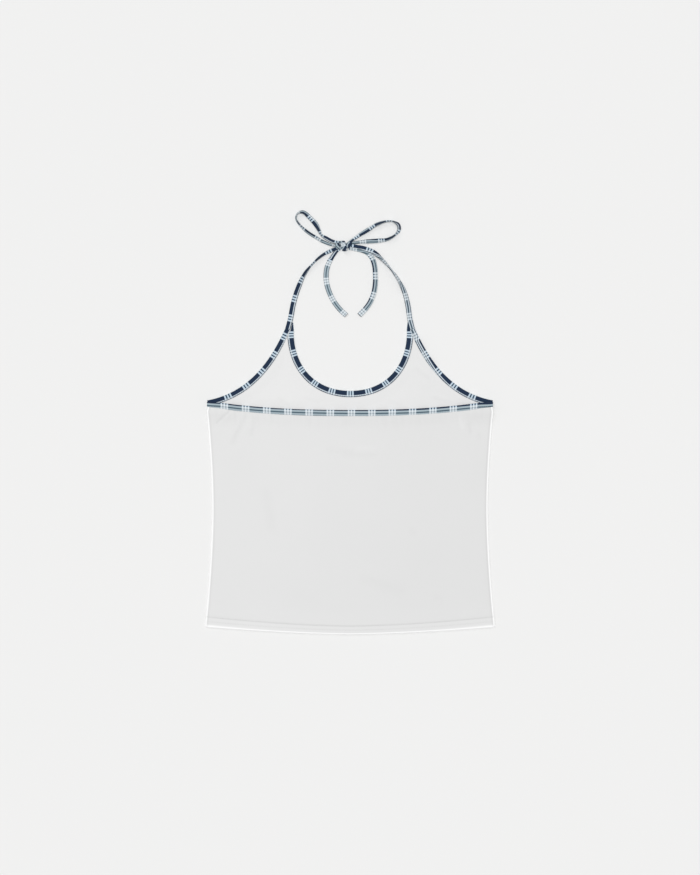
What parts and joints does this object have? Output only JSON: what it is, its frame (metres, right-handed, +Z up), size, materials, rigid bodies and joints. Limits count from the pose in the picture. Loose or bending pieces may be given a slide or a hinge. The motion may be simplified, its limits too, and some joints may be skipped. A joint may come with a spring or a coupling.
{
  "type": "halter neck top",
  "caption": "Sleeveless halter neck top in thin white jersey with checked binding and neck ties in a bow, laid flat back up.",
  "frame": {"origin": "on the surface that the top lies on, under the middle of the garment's outline with its ties", "axes": "+Z up off the surface, +Y from the hem to the bow, +X to the right as the picture shows it, which is the wearer's right"},
  "size_m": [0.3826, 0.5625, 0.0089],
  "materials": {
    "white_jersey": "fine matt jersey knit",
    "tape_navy_side": "matt woven check in navy, pale blue and white, the navy side up",
    "tape_pale_side": "matt woven check in grey-blue and white, the pale side up"
  },
  "bodies": {
    "root": {"front_panel": "white_jersey", "back_panel": "white_jersey", "armhole_binding_right": "tape_navy_side", "armhole_binding_left": "tape_navy_side", "neckline_binding": "tape_navy_side", "back_binding": "tape_pale_side", "strap_left": "tape_navy_side", "strap_right": "tape_navy_side", "bow_loop_left": "tape_navy_side", "bow_loop_right": "tape_navy_side", "bow_tail_left": "tape_pale_side", "bow_tail_right": "tape_pale_side", "bow_knot": "tape_pale_side"}
  },
  "joints": []
}
